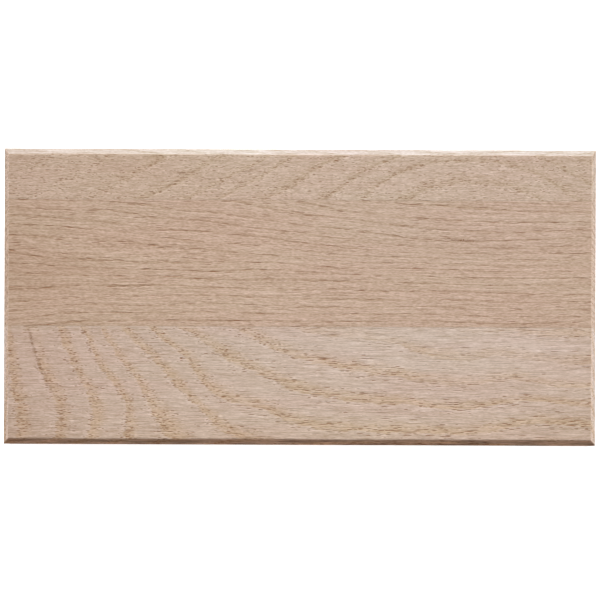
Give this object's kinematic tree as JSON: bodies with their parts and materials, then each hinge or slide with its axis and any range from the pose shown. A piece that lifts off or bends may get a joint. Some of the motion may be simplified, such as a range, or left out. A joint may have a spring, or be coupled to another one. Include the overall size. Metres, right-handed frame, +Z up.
{
  "type": "threshold strip",
  "caption": "Solid oak threshold strip, edge-glued from full-length staves, flat underside, all four upper edges chamfered; covers the floor joint in a doorway.",
  "frame": {"origin": "centre of the underside, the face that lies on the subfloor", "axes": "+X along the strip and the wood fibres, +Y towards the rear long edge (the narrow stave's side), +Z up out of the walking surface"},
  "size_m": [0.3, 0.15, 0.015],
  "materials": {
    "oak_rear": "untreated plain-sawn oak, planed and fine sanded",
    "oak_middle": "untreated rift-sawn oak, planed and fine sanded",
    "oak_front": "untreated plain-sawn oak, planed and fine sanded",
    "wood_adhesive": "cured wood adhesive, sanded flush"
  },
  "bodies": {
    "root": {"rear_stave": "oak_rear", "middle_stave": "oak_middle", "front_stave": "oak_front", "rear_bond_line": "wood_adhesive", "front_bond_line": "wood_adhesive"}
  },
  "joints": []
}
